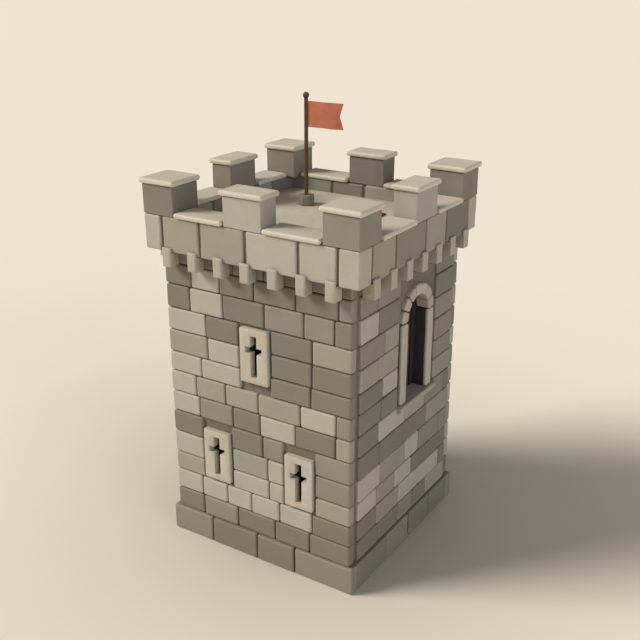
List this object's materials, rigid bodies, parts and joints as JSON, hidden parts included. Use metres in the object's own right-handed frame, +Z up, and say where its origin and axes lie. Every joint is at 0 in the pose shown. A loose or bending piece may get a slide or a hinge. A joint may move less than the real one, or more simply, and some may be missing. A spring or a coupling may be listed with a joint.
{
  "type": "town wall tower",
  "caption": "Square stone wall tower with arrow loops, raised arched doorways, a crenellated parapet on corbels, a roof deck with a hatch and a flag on a pole.",
  "frame": {"origin": "middle of the tower's square footprint, at ground level", "axes": "+Z up, -Y out of the front face with the arrow loops, +X out of the right face with a raised doorway"},
  "size_m": [5.6, 5.6, 10.393],
  "materials": {
    "masonry": "rough",
    "dressed_stone": "matte",
    "timber": "matte",
    "dark_timber": "matte",
    "iron": "satin",
    "flag_cloth": "matte"
  },
  "bodies": {
    "root": {"plinth_front": "masonry", "plinth_back": "masonry", "plinth_left": "masonry", "plinth_right": "masonry", "front_wall_left": "masonry", "front_wall_right": "masonry", "front_wall_upper": "masonry", "back_wall_left": "masonry", "back_wall_right": "masonry", "back_wall_upper": "masonry", "right_wall_below": "masonry", "right_wall_near": "masonry", "right_wall_far": "masonry", "right_wall_over": "masonry", "left_wall_below": "masonry", "left_wall_near": "masonry", "left_wall_far": "masonry", "left_wall_over": "masonry", "front_loop_left": "dressed_stone", "front_loop_right": "dressed_stone", "front_loop_top": "dressed_stone", "back_loop_left": "dressed_stone", "back_loop_right": "dressed_stone", "back_loop_top": "dressed_stone", "door_sills": "dressed_stone", "door_jambs": "dressed_stone", "door_arches": "dressed_stone", "door_linings": "dark_timber", "doors": "timber", "door_straps": "iron", "ground_floor": "masonry", "upper_floor_joists": "timber", "upper_floor_boards": "timber", "corbels_front": "dressed_stone", "corbels_back": "dressed_stone", "corbels_left": "dressed_stone", "corbels_right": "dressed_stone", "parapet_front": "masonry", "parapet_back": "masonry", "parapet_left": "masonry", "parapet_right": "masonry", "roof_beams": "timber", "roof_deck": "dressed_stone", "merlons": "masonry", "merlon_caps": "dressed_stone", "copings": "dressed_stone", "flag_socket": "masonry", "flagpole": "timber", "finial": "iron", "flag": "flag_cloth", "roof_hatch": "timber", "hatch_ring": "iron"}
  },
  "joints": []
}
